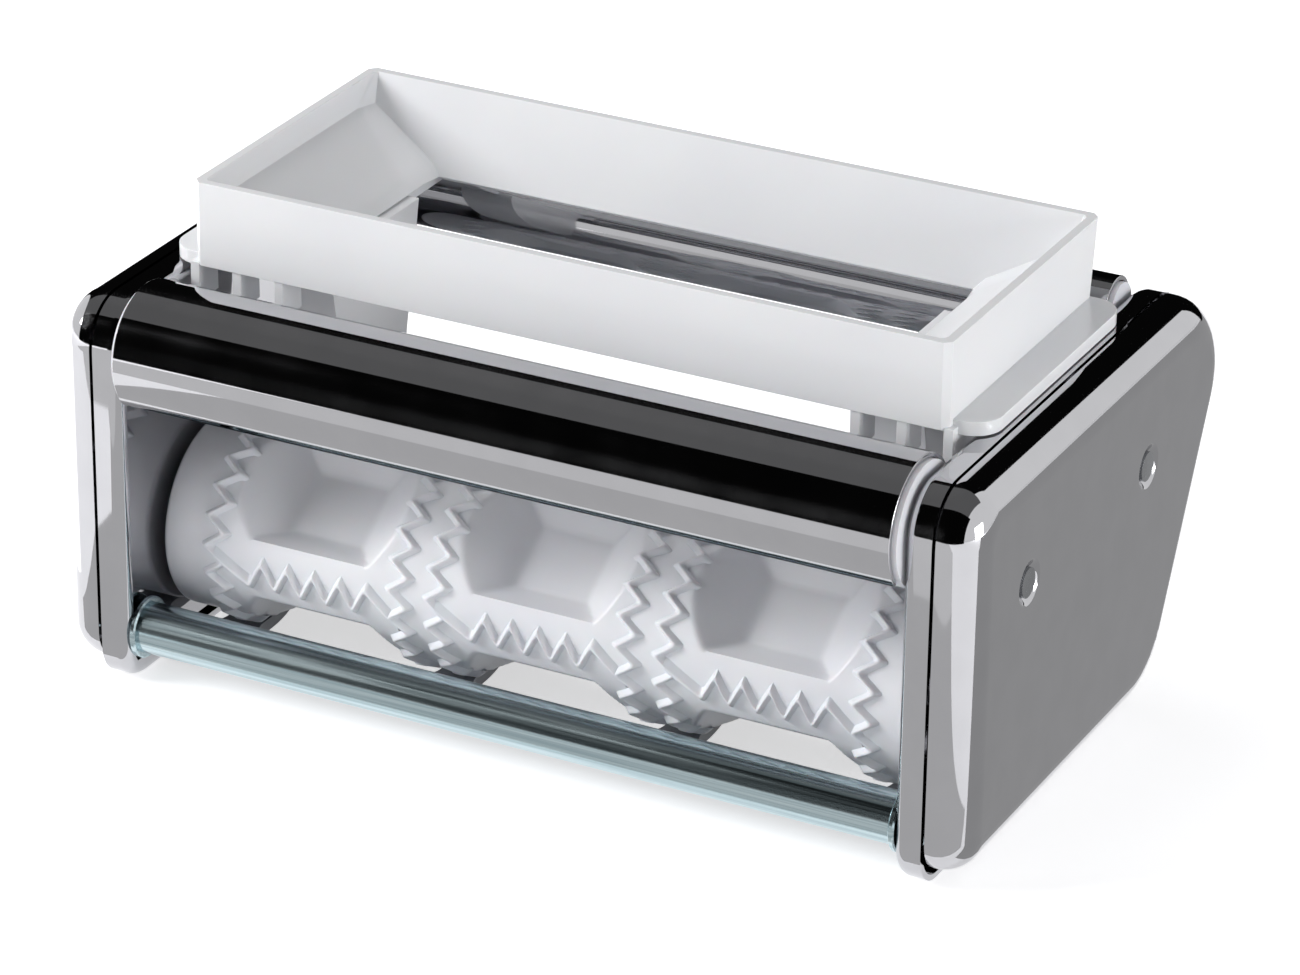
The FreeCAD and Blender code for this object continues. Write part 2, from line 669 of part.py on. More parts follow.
RIDGE_ROOT = size("roller_radius") - size("ridge_root")
RIDGE_CREST = size("roller_radius") + size("ridge_height")
ROLLER_LENGTH = "2 * Sizes.roller_half_length"


# Turns a piece that points to -Y up and over the front of the roller.
def rolled(degrees):
    return Rotation(Vector(1, 0, 0), -degrees)


# A pocket widens from its floor through its mouth and on to a top clear of the ridges.
def pocket_tool(name, middle, degrees):
    tool = doc.addObject("Part::Wedge", name)
    top = "(Sizes.roller_radius + 2 * Sizes.ridge_height)"
    grow = "(%s - Sizes.pocket_floor_height) / (Sizes.pocket_mouth_height - Sizes.pocket_floor_height)" % top
    sides = (("X", "pocket_length", "pocket_floor_length"), ("Z", "pocket_width", "pocket_floor_width"))
    for axis, mouth, floor in sides:
        near = "Sizes.%s / 2" % floor
        far = "(Sizes.%s + (Sizes.%s - Sizes.%s) * %s) / 2" % (floor, mouth, floor, grow)
        limits = {"min": "-" + near, "max": near, "2min": "-" + far, "2max": far}
        bind(tool, **{axis + word: formula for word, formula in limits.items()})
    bind(tool, Ymin="Sizes.pocket_floor_height", Ymax=top)
    turn = rolled(degrees) * Rotation(Vector(0, 0, 1), 180)
    return place(tool, middle, "0", "0", turn)


# A point at the given radius, turned up from -Y.
def spot(across, radius, degrees):
    turn = math.radians(degrees)
    return Vector(across, -radius * math.cos(turn), radius * math.sin(turn))


# A tent shaped ridge through three-cornered sections. It is a ring when its last section is its first.
def ridge(sections):
    faces = []
    for near, far in zip(sections, sections[1:]):
        for corner in range(3):
            after = (corner + 1) % 3
            faces.append(Part.makeRuledSurface(Part.makeLine(near[corner], far[corner]),
                                               Part.makeLine(near[after], far[after])))
    if sections[0] != sections[-1]:
        for end in (sections[0], sections[-1]):
            faces.append(Part.Face(Part.makePolygon(list(end) + [end[0]])))
    shell = Part.makeShell(faces)
    shell.sewShape()
    solid = Part.makeSolid(shell)
    if solid.Volume < 0:
        solid.reverse()
    return solid


# A ring ridge about X 0 that zigzags once to each side for every tooth.
def zigzag_ring():
    half = size("ring_base_half")
    sections = []
    for number in range(2 * RING_ZIGZAGS):
        across = size("ring_amplitude") * (-1) ** number
        turn = size("ring_phase") + 180.0 * number / RING_ZIGZAGS
        sections.append((spot(across - half, RIDGE_ROOT, turn), spot(across, RIDGE_CREST, turn),
                         spot(across + half, RIDGE_ROOT, turn)))
    return ridge(sections + sections[:1])


# A bar ridge along one cell: a long rise out of the left ring, the zigzag, and a long fall to the right ring.
def zigzag_bar(middle):
    reach = size("cell_pitch") / 2 - size("line_offset")
    points = [(-reach, size("bar_start_lift"))]
    for number in range(BAR_CORNERS):
        across = size("bar_offset") + (number - (BAR_CORNERS - 1) / 2) * size("bar_step")
        points.append((across, -size("bar_amplitude") * (-1) ** number))
    points.append((reach, -size("bar_end_drop")))
    half = size("bar_base_half")
    sections = []
    for across, lift in points:
        rises = ((lift - half, RIDGE_ROOT), (lift, RIDGE_CREST), (lift + half, RIDGE_ROOT))
        sections.append([spot(middle + across, radius, math.degrees(rise / size("roller_radius")))
                         for rise, radius in rises])
    return ridge(sections)


core = bar("RollerCore", "Sizes.roller_radius", ROLLER_LENGTH, "-Sizes.roller_half_length", "0", "0")
hole = bar("RollerBore", "Sizes.axle_radius + Sizes.roller_fit", ROLLER_LENGTH, "-Sizes.roller_half_length",
           "0", "0")
tools = [hole]
for row in range(ROWS):
    for cell in range(CELLS):
        middle = "%d * Sizes.cell_pitch" % (cell - 1)
        tools.append(pocket_tool("Pocket%d%d" % (row, cell), middle, (row + 0.5) * 360.0 / ROWS))
core = cut("RollerCoreCut", core, *tools)

ring_places = [-size("end_line_place"), size("end_line_place")]
for gap in (-0.5, 0.5):
    for sign in (-1, 1):
        ring_places.append(gap * size("cell_pitch") + sign * size("line_offset"))
ring = zigzag_ring()
ridges = [ring.translated(Vector(middle, 0, 0)) for middle in ring_places]
for cell in range(CELLS):
    bar_ridge = zigzag_bar((cell - (CELLS - 1) / 2) * size("cell_pitch"))
    for row in range(ROWS):
        turned = bar_ridge.copy()
        turned.rotate(Vector(), Vector(1, 0, 0), -row * 360.0 / ROWS)
        ridges.append(turned)
ridge_group = doc.addObject("Part::Feature", "ZigzagRidges")
ridge_group.Shape = ridges[0].fuse(ridges[1:])
front_roller = fuse("FrontFormingRoller", core, ridge_group)
front_roller.Refine = False
place(front_roller, "0", FRONT_AXIS, AXIS_UP, rolled(size("first_row_angle")))
node(front_roller, "front_forming_roller")
rear_roller = doc.addObject("Part::Mirroring", "RearFormingRoller")
rear_roller.Source = front_roller
rear_roller.Normal = Vector(0, 1, 0)
bind(rear_roller, Base__y=NIP)
node(rear_roller, "rear_forming_roller")

# Hopper: a lift-off tray with a sloped funnel, a seat flange, end blocks and front ribs.


def centred_box(name, half_length, front, rear, bottom, top):
    return box(name, "2 * (%s)" % half_length, "%s - (%s)" % (rear, front), "%s - (%s)" % (top, bottom),
               "-(%s)" % half_length, front, bottom)


# A four sided funnel from a low opening up to a high one.
def funnel(name, low, high, bottom, top):
    made = doc.addObject("Part::Wedge", name)
    (half, front, rear), (high_half, high_front, high_rear) = low, high
    bind(made, Xmin="-(%s)" % half, Xmax=half, Zmin="-(%s)" % rear, Zmax="-(%s)" % front, Ymin=bottom, Ymax=top,
         X2min="-(%s)" % high_half, X2max=high_half, Z2min="-(%s)" % high_rear, Z2max="-(%s)" % high_front)
    made.Placement = Placement(Vector(), Rotation(Vector(1, 0, 0), 90))
    return made


wall = "Sizes.hopper_wall"
top = "Sizes.hopper_top"
skirt = centred_box("HopperSkirt", "Sizes.hopper_half_length", "Sizes.hopper_front", "Sizes.hopper_rear",
                    "Sizes.hopper_skirt_bottom", top)
inner_rim = ("Sizes.hopper_half_length - " + wall, "Sizes.hopper_front + " + wall,
             "Sizes.hopper_rear - " + wall)
skirt_inside = centred_box("HopperSkirtInside", *inner_rim, "Sizes.hopper_skirt_bottom", top)
slot = ("Sizes.slot_half_length", "Sizes.slot_front", "Sizes.slot_rear")
slot_outside = (slot[0] + " + " + wall, slot[1] + " - " + wall, slot[2] + " + " + wall)
slope_rim = tuple("%s %s %s / 2" % pair for pair in zip(inner_rim, "+-+", (wall,) * 3))
slope = funnel("HopperSlope", slot_outside, slope_rim, "Sizes.slot_height - Sizes.funnel_drop", top)
slope_inside = funnel("HopperSlopeInside", slot, inner_rim, "Sizes.slot_height", top)
flange_bottom = "Sizes.panel_height + Sizes.seat_gap"
flange_top = flange_bottom + " + Sizes.flange_thickness"
flange = centred_box("HopperFlangePlate", "Sizes.flange_half_length", "Sizes.flange_front", "Sizes.flange_rear",
                     flange_bottom, flange_top)
flange_round = rounded("HopperFlange", flange, size("flange_corner"), is_upright)
floor = centred_box("HopperFloor", "Sizes.hopper_half_length", "Sizes.hopper_front", "Sizes.hopper_rear",
                    "Sizes.hopper_skirt_bottom", flange_top)
slot_cut = centred_box("HopperSlotCut", *slot, flange_bottom, "Sizes.slot_height")
pieces = [cut("HopperSkirtWall", skirt, skirt_inside), slope, flange_round, floor]

block_top = flange_bottom + " + Sizes.flange_thickness"
for side in (-1, 1):
    name = side_name(side)
    body = doc.addObject("PartDesign::Body", name + "EndBlock")
    sketch = sketch_on(body, "YZ_Plane", name + "EndBlockOutline")
    steps = (("Sizes.block_top_width", block_top), ("Sizes.block_shoulder_width", "Sizes.block_shoulder"),
             ("Sizes.block_bottom_width", "Sizes.block_bottom"))
    left_line = [("%s - %s / 2" % (NIP, width), up) for width, up in steps]
    right_line = [("%s + %s / 2" % (NIP, width), up) for width, up in reversed(steps)]
    outline(sketch, left_line + right_line)
    pad(body, sketch, "Sizes.block_thickness", name + "EndBlockPad", backward=side < 0)
    place(body, "%d * Sizes.slot_half_length" % side, "0", "0")
    pieces.append(body)
    for number in range(3):
        rib_middle = "(Sizes.rib_first_place + %d * Sizes.rib_pitch)" % number
        start = outward(side, rib_middle + " - Sizes.rib_thickness / 2", "Sizes.rib_thickness")
        pieces.append(box("%sRib%d" % (name, number), "Sizes.rib_thickness", "Sizes.rib_length",
                          "Sizes.rib_drop + Sizes.flange_thickness", start, "Sizes.rib_front",
                          flange_bottom + " - Sizes.rib_drop"))
node(cut("Hopper", fuse("HopperBody", *pieces), slope_inside, slot_cut), "hopper")

doc.recompute()

# Check every object and solid, then write one file for each node.

failed = [item.Name for item in doc.Objects if "Invalid" in item.State or "Error" in item.State]
if failed:
    raise RuntimeError("failed objects: %s" % ", ".join(failed))
for item in nodes:
    if item.Shape.isNull() or not item.Shape.isValid() or item.Shape.Volume <= 0:
        raise RuntimeError("bad shape: %s" % item.Label)
os.makedirs("parts", exist_ok=True)
for item in nodes:
    item.Shape.exportStep("parts/%s.step" % item.Label)
print("wrote", len(nodes), "nodes")
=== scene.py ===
import json
import math

import bmesh
import bpy
from mathutils import Matrix, Vector

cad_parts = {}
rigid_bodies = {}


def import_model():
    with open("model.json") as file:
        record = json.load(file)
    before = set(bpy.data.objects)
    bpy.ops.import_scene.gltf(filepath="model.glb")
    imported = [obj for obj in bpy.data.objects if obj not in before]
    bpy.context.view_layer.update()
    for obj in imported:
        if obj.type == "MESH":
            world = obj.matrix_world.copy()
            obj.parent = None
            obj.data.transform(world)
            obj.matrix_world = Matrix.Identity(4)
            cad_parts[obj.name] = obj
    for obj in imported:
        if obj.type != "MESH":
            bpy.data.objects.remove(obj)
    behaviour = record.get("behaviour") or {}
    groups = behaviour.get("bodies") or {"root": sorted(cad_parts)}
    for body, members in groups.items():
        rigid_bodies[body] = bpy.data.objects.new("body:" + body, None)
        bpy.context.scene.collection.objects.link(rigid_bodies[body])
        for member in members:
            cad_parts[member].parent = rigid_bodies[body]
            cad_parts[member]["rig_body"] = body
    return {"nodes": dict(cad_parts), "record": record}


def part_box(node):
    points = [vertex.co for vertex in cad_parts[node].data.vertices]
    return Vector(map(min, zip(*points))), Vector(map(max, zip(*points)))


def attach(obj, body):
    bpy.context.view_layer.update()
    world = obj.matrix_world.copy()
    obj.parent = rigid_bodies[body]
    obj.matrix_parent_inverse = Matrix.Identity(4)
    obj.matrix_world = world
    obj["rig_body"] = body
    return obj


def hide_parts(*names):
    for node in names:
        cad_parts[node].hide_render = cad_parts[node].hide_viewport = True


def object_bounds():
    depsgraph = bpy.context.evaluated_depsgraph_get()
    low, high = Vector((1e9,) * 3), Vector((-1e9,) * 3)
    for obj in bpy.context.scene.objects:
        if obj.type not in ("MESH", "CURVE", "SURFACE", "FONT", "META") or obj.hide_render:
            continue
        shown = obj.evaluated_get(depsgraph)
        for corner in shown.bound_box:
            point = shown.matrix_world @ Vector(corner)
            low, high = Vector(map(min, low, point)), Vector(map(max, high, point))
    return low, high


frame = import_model()
cadLow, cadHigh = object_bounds()
nodes = frame["nodes"]
mm = 0.001

# Where the rollers turn, read from the frame
frontAxis = sum(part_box("front_roller_axle"), Vector()) / 2
rearAxis = sum(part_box("rear_roller_axle"), Vector()) / 2
nip = (frontAxis.y + rearAxis.y) / 2


# Colours are written as they look on a screen
def linear(colour):
    parts = [int(colour[at:at + 2], 16) / 255 for at in (1, 3, 5)]
    return [part / 12.92 if part <= 0.04045 else ((part + 0.055) / 1.055) ** 2.4 for part in parts] + [1]


def addNode(tree, kind, settings=None, values=None, links=None):
    made = tree.nodes.new(kind)
    for name, value in (settings or {}).items():
        setattr(made, name, value)
    for name, value in (values or {}).items():
        made.inputs[name].default_value = value
    for name, socket in (links or {}).items():
        tree.links.new(socket, made.inputs[name])
    return made


# Every finish starts from a bare surface shader with its own fixed values
def newMaterial(name, values):
    material = bpy.data.materials.new(name)
    material.use_nodes = True
    tree = material.node_tree
    shader = tree.nodes["Principled BSDF"]
    for socket, value in values.items():
        shader.inputs[socket].default_value = value
    return material, tree, shader


# Noise read from the piece's own place, with each grain as long as the sizes in millimetres say
def grain(tree, size, detail):
    place = addNode(tree, "ShaderNodeTexCoord")
    stretch = [1 / (length * mm) for length in size]
    mapped = addNode(tree, "ShaderNodeMapping", values={"Scale": stretch},
                     links={"Vector": place.outputs["Object"]})
    return addNode(tree, "ShaderNodeTexNoise", values={"Scale": 1.0, "Detail": detail},
                   links={"Vector": mapped.outputs["Vector"]})


# The part of a noise's range that sets its roughness and its colour
roughRange = (0.3, 0.7)
colourRange = (0.35, 0.65)


# The roughness wanders between the look's two numbers
def addRoughness(tree, shader, noise, look):
    limits = {"From Min": roughRange[0], "From Max": roughRange[1],
              "To Min": look["roughness"][0], "To Max": look["roughness"][1]}
    mapped = addNode(tree, "ShaderNodeMapRange", values=limits, links={"Value": noise.outputs["Fac"]})
    tree.links.new(mapped.outputs["Result"], shader.inputs["Roughness"])


# The colour wanders between the look's two tones
def addTone(tree, shader, noise, look):
    ramp = addNode(tree, "ShaderNodeValToRGB", links={"Fac": noise.outputs["Fac"]})
    for stop, position, word in zip(ramp.color_ramp.elements, colourRange, ("dark", "light")):
        stop.position = position
        stop.color = linear(look[word])
    tree.links.new(ramp.outputs["Color"], shader.inputs["Base Color"])


# The look's relief is its depth in millimetres and its strength
def addRelief(tree, shader, noise, look):
    depth, strength = look["relief"]
    bump = addNode(tree, "ShaderNodeBump", values={"Distance": depth * mm, "Strength": strength},
                   links={"Height": noise.outputs["Fac"]})
    tree.links.new(bump.outputs["Normal"], shader.inputs["Normal"])


# Decorative chromium on pressed steel, buffed: a dark mirror with the slow waves of pressed sheet
chromeLook = {"dark": "#bcbcbf", "light": "#bfbfc2", "roughness": (0.035, 0.06), "relief": (0.008, 0.6),
              "waves": (40, 40, 40), "haze": (9, 9, 9)}


def chromePlate():
    material, tree, shader = newMaterial("BuffedChromePlate", {"Metallic": 1.0})
    waves = grain(tree, chromeLook["waves"], detail=1)
    haze = grain(tree, chromeLook["haze"], detail=4)
    addTone(tree, shader, haze, chromeLook)
    addRoughness(tree, shader, haze, chromeLook)
    addRelief(tree, shader, waves, chromeLook)
    return material


# Blue passivated zinc on drawn rod: a soft bluish mirror with draw lines along the rod
zincLook = {"dark": "#a3b7bd", "light": "#c6d6da", "roughness": (0.12, 0.24), "relief": (0.02, 0.3),
            "lines": (70, 0.6, 0.6)}


def zincPlate():
    material, tree, shader = newMaterial("BluePassivatedZinc", {"Metallic": 1.0})
    lines = grain(tree, zincLook["lines"], detail=4)
    addTone(tree, shader, lines, zincLook)
    addRoughness(tree, shader, lines, zincLook)
    addRelief(tree, shader, lines, zincLook)
    return material


# Turned and milled steel, oiled: a satin grey with rings round the bar
steelLook = {"dark": "#8d8f93", "light": "#b3b5b8", "roughness": (0.2, 0.34), "relief": (0.02, 0.4),
             "rings": (0.5, 40, 40)}


def turnedSteel():
    material, tree, shader = newMaterial("TurnedSteel", {"Metallic": 1.0})
    rings = grain(tree, steelLook["rings"], detail=3)
    addTone(tree, shader, rings, steelLook)
    addRoughness(tree, shader, rings, steelLook)
    addRelief(tree, shader, rings, steelLook)
    return material


# White ABS from a polished mould: even and glossy, with a faint orange peel
glossLook = {"dark": "#e6e7ea", "light": "#ebecee", "relief": (0.02, 0.5), "tone": (45, 45, 45),
             "peel": (5, 5, 5), "depthOfGlow": 1.5}


def glossPlastic():
    values = {"Roughness": 0.2, "IOR": 1.53, "Subsurface Weight": 0.05,
              "Subsurface Scale": glossLook["depthOfGlow"] * mm}
    material, tree, shader = newMaterial("PolishedWhiteAbs", values)
    addTone(tree, shader, grain(tree, glossLook["tone"], detail=2), glossLook)
    addRelief(tree, shader, grain(tree, glossLook["peel"], detail=2), glossLook)
    return material


# White acetal from a spark eroded mould: a waxy satin that softens the pocket floors
satinLook = {"dark": "#dfe0e6", "light": "#e7e8ec", "roughness": (0.3, 0.4), "relief": (0.012, 0.5),
             "tone": (30, 30, 30), "texture": (0.7, 0.7, 0.7), "depthOfGlow": 2}


def satinPlastic():
    values = {"IOR": 1.48, "Subsurface Weight": 0.08, "Subsurface Scale": satinLook["depthOfGlow"] * mm}
    material, tree, shader = newMaterial("SatinWhiteAcetal", values)
    texture = grain(tree, satinLook["texture"], detail=3)
    addTone(tree, shader, grain(tree, satinLook["tone"], detail=2), satinLook)
    addRoughness(tree, shader, texture, satinLook)
    addRelief(tree, shader, texture, satinLook)
    return material


# Grey nylon, moulded with a fine matt texture: flat and a little cloudy
nylonLook = {"dark": "#84878e", "light": "#92959b", "relief": (0.015, 0.5), "clouds": (12, 12, 12),
             "texture": (0.5, 0.5, 0.5)}


def greyNylon():
    material, tree, shader = newMaterial("MattGreyNylon", {"IOR": 1.53, "Roughness": 0.42})
    addTone(tree, shader, grain(tree, nylonLook["clouds"], detail=3), nylonLook)
    addRelief(tree, shader, grain(tree, nylonLook["texture"], detail=3), nylonLook)
    return material


finishes = {
    "chrome_steel": chromePlate(),
    "zinc_steel": zincPlate(),
    "plain_steel": turnedSteel(),
    "white_gloss_plastic": glossPlastic(),
    "white_moulded_plastic": satinPlastic(),
    "grey_plastic": greyNylon(),
}
print("finishes made")

# The record's finish of each CAD node
slotOf = {part["node"]: part["material_slot"] for part in frame["record"]["subparts"]}


# Edges that turn by more than this many degrees stay sharp
plainSharpAngle = 34
softEdgeSegments = 3


# Turns a finished shape into a piece that stands for its CAD nodes. A soft edge is its width in millimetres.
def finishPiece(name, shape, stoodFor, sharpAngle=plainSharpAngle, softEdge=0):
    for face in shape.faces:
        face.smooth = True
    for edge in shape.edges:
        edge.smooth = not edge.is_manifold or edge.calc_face_angle() < math.radians(sharpAngle)
    mesh = bpy.data.meshes.new(name)
    shape.to_mesh(mesh)
    shape.free()
    piece = bpy.data.objects.new(name, mesh)
    bpy.context.scene.collection.objects.link(piece)
    if softEdge:
        bevel = piece.modifiers.new("SoftEdge", "BEVEL")
        bevel.width = softEdge * mm
        bevel.segments = softEdgeSegments
        bevel.limit_method = "ANGLE"
        bevel.angle_limit = math.radians(sharpAngle)
        bevel.harden_normals = True
    weighted = piece.modifiers.new("FlatsStayFlat", "WEIGHTED_NORMAL")
    weighted.keep_sharp = True
    slotName = slotOf[stoodFor[0]]
    mesh.materials.append(finishes[slotName])
    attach(piece, nodes[stoodFor[0]]["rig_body"])
    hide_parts(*stoodFor)


def pieceName(nodeName):
    first, *rest = nodeName.split("_")
    return first + "".join(word.title() for word in rest)


def onlyVerts(items):
    return [item for item in items if isinstance(item, bmesh.types.BMVert)]


def onlyEdges(items):
    return [item for item in items if isinstance(item, bmesh.types.BMEdge)]


def vertsOf(edges):
    return list(dict.fromkeys(vert for edge in edges for vert in edge.verts))


# How close points are joined, in millimetres, and how flat triangles are, in degrees
weld = {"distance": 0.003, "flatAngle": 0.4}


# A CAD node's own shape with its triangles joined, so that it shades smoothly
def dressedCopy(nodeName):
    shape = bmesh.new()
    shape.from_mesh(nodes[nodeName].data)
    bmesh.ops.remove_doubles(shape, verts=shape.verts, dist=weld["distance"] * mm)
    bmesh.ops.dissolve_limit(shape, angle_limit=math.radians(weld["flatAngle"]), verts=shape.verts,
                             edges=shape.edges)
    finishPiece(pieceName(nodeName), shape, [nodeName])


# Forming rollers. The front one is drawn about the X axis, then moved to its axle and mirrored for the rear.
roller = {
    "radius": 20.0, "halfLength": 83.0, "bore": 5.2, "endRound": 0.6,
    "rows": 3, "cells": 3, "cellPitch": 50.0, "firstRow": -4.8,
    "alongSteps": 300, "roundSteps": 216, "seamWeld": 0.01, "sharpAngle": 50,
}
pocket = {
    "floorHeight": 10.5, "mouthHeight": 15.3, "floorLength": 16.0, "mouthLength": 26.5,
    "floorWidth": 14.0, "mouthWidth": 25.8, "floorBlend": 0.4, "mouthBlend": 0.2,
    "leastFacing": 0.05, "farOut": 60.0, "clearOfCore": 12.0,
}
ridge = {
    "root": 19.6, "crest": 21.3, "ringHalf": 1.95, "barHalf": 2.2, "crestHalf": 0.34, "shoulderHalf": 0.62,
    "crestRound": 0.08, "shoulderDrop": 0.34, "barRound": 0.32, "ringRound": 0.14,
    "ringPlaces": (-70.8, -29.2, -20.8, 20.8, 29.2, 70.8), "ringTeeth": 21, "ringSwing": 2.2,
    "ringPhase": 2.5, "ringStepsPerFlank": 6,
    "barReach": 20.8, "barCorners": 10, "barStep": 2.93, "barOffset": 0.3, "barSwing": 2.6,
    "barStart": 2.2, "barEnd": -4.15, "barStepLength": 0.5,
}


# The larger of several numbers, with the crease between them rounded
def softLargest(numbers, blend):
    top = max(numbers)
    return top + blend * math.log(sum(math.exp((number - top) / blend) for number in numbers))


# How far the core reaches from its axis, at a place along it and an angle up from the front
def coreRadius(along, angle):
    reach = roller["radius"] - max(0.0, abs(along) - roller["halfLength"] + roller["endRound"])
    rowAngle = 360.0 / roller["rows"]
    turned = (angle - roller["firstRow"]) % rowAngle - rowAngle / 2
    lastCell = (roller["cells"] - 1) // 2
    cell = max(-lastCell, min(lastCell, round(along / roller["cellPitch"])))
    offset = abs(along - cell * roller["cellPitch"])
    rise = pocket["mouthHeight"] - pocket["floorHeight"]
    endSlope = rise * 2 / (pocket["mouthLength"] - pocket["floorLength"])
    sideSlope = rise * 2 / (pocket["mouthWidth"] - pocket["floorWidth"])
    lean = math.radians(turned)
    upright = math.cos(lean)
    floor = pocket["floorHeight"] / upright
    end = (pocket["floorHeight"] + endSlope * (offset - pocket["floorLength"] / 2)) / upright
    facing = upright - sideSlope * abs(math.sin(lean))
    side = pocket["farOut"]
    if facing > pocket["leastFacing"]:
        side = min(side, (pocket["floorHeight"] - sideSlope * pocket["floorWidth"] / 2) / facing)
    deep = min(softLargest((floor, end, side), pocket["floorBlend"]), reach + pocket["clearOfCore"])
    return -softLargest((-deep, -reach), pocket["mouthBlend"])


# The section of a ridge: a tent with a narrow rounded crest
def ridgeSection(half):
    crest = ridge["crest"]
    shoulder = [(ridge["crestHalf"], crest - ridge["crestRound"]),
                (ridge["shoulderHalf"], crest - ridge["shoulderDrop"]), (half, ridge["root"])]
    return [(-across, up) for across, up in reversed(shoulder)] + [(0, crest)] + shoulder


# A closed loop of edges through the given places
def loopOfEdges(shape, places):
    verts = [shape.verts.new(place) for place in places]
    return [shape.edges.new((verts[at - 1], verts[at])) for at in range(len(verts))]


roundingSamples = 7


# The height of a bent line at a place, with its corners rounded
def bentLine(points, at, rounding):
    total = 0.0
    for number in range(roundingSamples):
        place = at + rounding * (2 * number / (roundingSamples - 1) - 1)
        place = max(points[0][0], min(points[-1][0], place))
        for (nearX, nearY), (farX, farY) in zip(points, points[1:]):
            if nearX <= place <= farX:
                total += nearY + (farY - nearY) * (place - nearX) / (farX - nearX)
                break
    return total / roundingSamples


# The core is a flat grid rolled up, with its ends closed in to the bore
def addCore(shape):
    core = bmesh.ops.create_grid(shape, x_segments=roller["alongSteps"], y_segments=roller["roundSteps"],
                                 size=1)
    for vert in core["verts"]:
        along = vert.co.x * roller["halfLength"]
        angle = vert.co.y * 180
        reach = coreRadius(along, angle)
        vert.co = (along, -reach * math.cos(math.radians(angle)), reach * math.sin(math.radians(angle)))
    bmesh.ops.remove_doubles(shape, verts=shape.verts, dist=roller["seamWeld"])
    rims = [edge for edge in shape.edges if edge.is_boundary]
    bores = bmesh.ops.extrude_edge_only(shape, edges=rims)["geom"]
    for vert in onlyVerts(bores):
        inward = Vector((0, vert.co.y, vert.co.z)).normalized() * roller["bore"]
        vert.co = (vert.co.x, inward.y, inward.z)
    bmesh.ops.bridge_loops(shape, edges=onlyEdges(bores))


# A ring ridge about X 0
def addRing(shape):
    section = ridgeSection(ridge["ringHalf"])
    edges = loopOfEdges(shape, [(across, -up, 0) for across, up in section])
    flanks = 2 * ridge["ringTeeth"]
    bmesh.ops.spin(shape, geom=vertsOf(edges) + edges, cent=(0, 0, 0), axis=(1, 0, 0), angle=-2 * math.pi,
                   steps=flanks * ridge["ringStepsPerFlank"], use_merge=True)
    zigzag = [(place, ridge["ringSwing"] * (-1) ** place) for place in range(-1, 4)]
    for vert in shape.verts:
        angle = math.degrees(math.atan2(vert.co.z, -vert.co.y)) - ridge["ringPhase"] - roller["firstRow"]
        vert.co.x += bentLine(zigzag, angle / 360 * flanks % 2, ridge["ringRound"])


# A bar ridge along the middle cell, on its first row
def addBar(shape):
    points = [(-ridge["barReach"], ridge["barStart"])]
    for number in range(ridge["barCorners"]):
        across = ridge["barOffset"] + (number - (ridge["barCorners"] - 1) / 2) * ridge["barStep"]
        points.append((across, -ridge["barSwing"] * (-1) ** number))
    points.append((ridge["barReach"], ridge["barEnd"]))

    def turnAt(across):
        lift = bentLine(points, across, ridge["barRound"])
        return math.radians(roller["firstRow"]) + lift / roller["radius"]

    steps = round(2 * ridge["barReach"] / ridge["barStepLength"])
    places = [ridge["barReach"] * (2 * number / steps - 1) for number in range(steps + 1)]
    section = []
    for lift, up in ridgeSection(ridge["barHalf"]):
        turn = turnAt(places[0]) + lift / roller["radius"]
        section.append((places[0], -up * math.cos(turn), up * math.sin(turn)))
    edges = loopOfEdges(shape, section)
    bmesh.ops.contextual_create(shape, geom=edges)
    for near, far in zip(places, places[1:]):
        grown = bmesh.ops.extrude_edge_only(shape, edges=edges)["geom"]
        verts = onlyVerts(grown)
        edges = onlyEdges(grown)
        turned = Matrix.Rotation(turnAt(near) - turnAt(far), 3, "X")
        bmesh.ops.translate(shape, verts=verts, vec=(far - near, 0, 0))
        bmesh.ops.rotate(shape, verts=verts, cent=(0, 0, 0), matrix=turned)
    bmesh.ops.contextual_create(shape, geom=edges)


# Adds copies of one small shape to a large one, each turned and then moved along X
def addCopies(shape, makeOne, places):
    for along, turn in places:
        one = bmesh.new()
        makeOne(one)
        turned = Matrix.Rotation(-math.radians(turn), 3, "X")
        bmesh.ops.rotate(one, verts=one.verts, cent=(0, 0, 0), matrix=turned)
        bmesh.ops.translate(one, verts=one.verts, vec=(along, 0, 0))
        carrier = bpy.data.meshes.new("carrier")
        one.to_mesh(carrier)
        one.free()
        shape.from_mesh(carrier)
        bpy.data.meshes.remove(carrier)


def formingRoller():
    shape = bmesh.new()
    addCore(shape)
    addCopies(shape, addRing, [(middle, 0) for middle in ridge["ringPlaces"]])
    bars = [((cell - (roller["cells"] - 1) / 2) * roller["cellPitch"], row * 360 / roller["rows"])
            for cell in range(roller["cells"]) for row in range(roller["rows"])]
    addCopies(shape, addBar, bars)
    bmesh.ops.scale(shape, verts=shape.verts, vec=(mm, mm, mm))
    bmesh.ops.translate(shape, verts=shape.verts, vec=(0, frontAxis.y, frontAxis.z))
    bmesh.ops.recalc_face_normals(shape, faces=shape.faces)
    return shape


frontShape = formingRoller()
rearShape = frontShape.copy()
finishPiece("frontFormingRoller", frontShape, ["front_forming_roller"], roller["sharpAngle"])
bmesh.ops.scale(rearShape, verts=rearShape.verts, vec=(1, -1, 1))
bmesh.ops.translate(rearShape, verts=rearShape.verts, vec=(0, 2 * nip, 0))
bmesh.ops.recalc_face_normals(rearShape, faces=rearShape.faces)
finishPiece("rearFormingRoller", rearShape, ["rear_forming_roller"], roller["sharpAngle"])
print("forming rollers made")

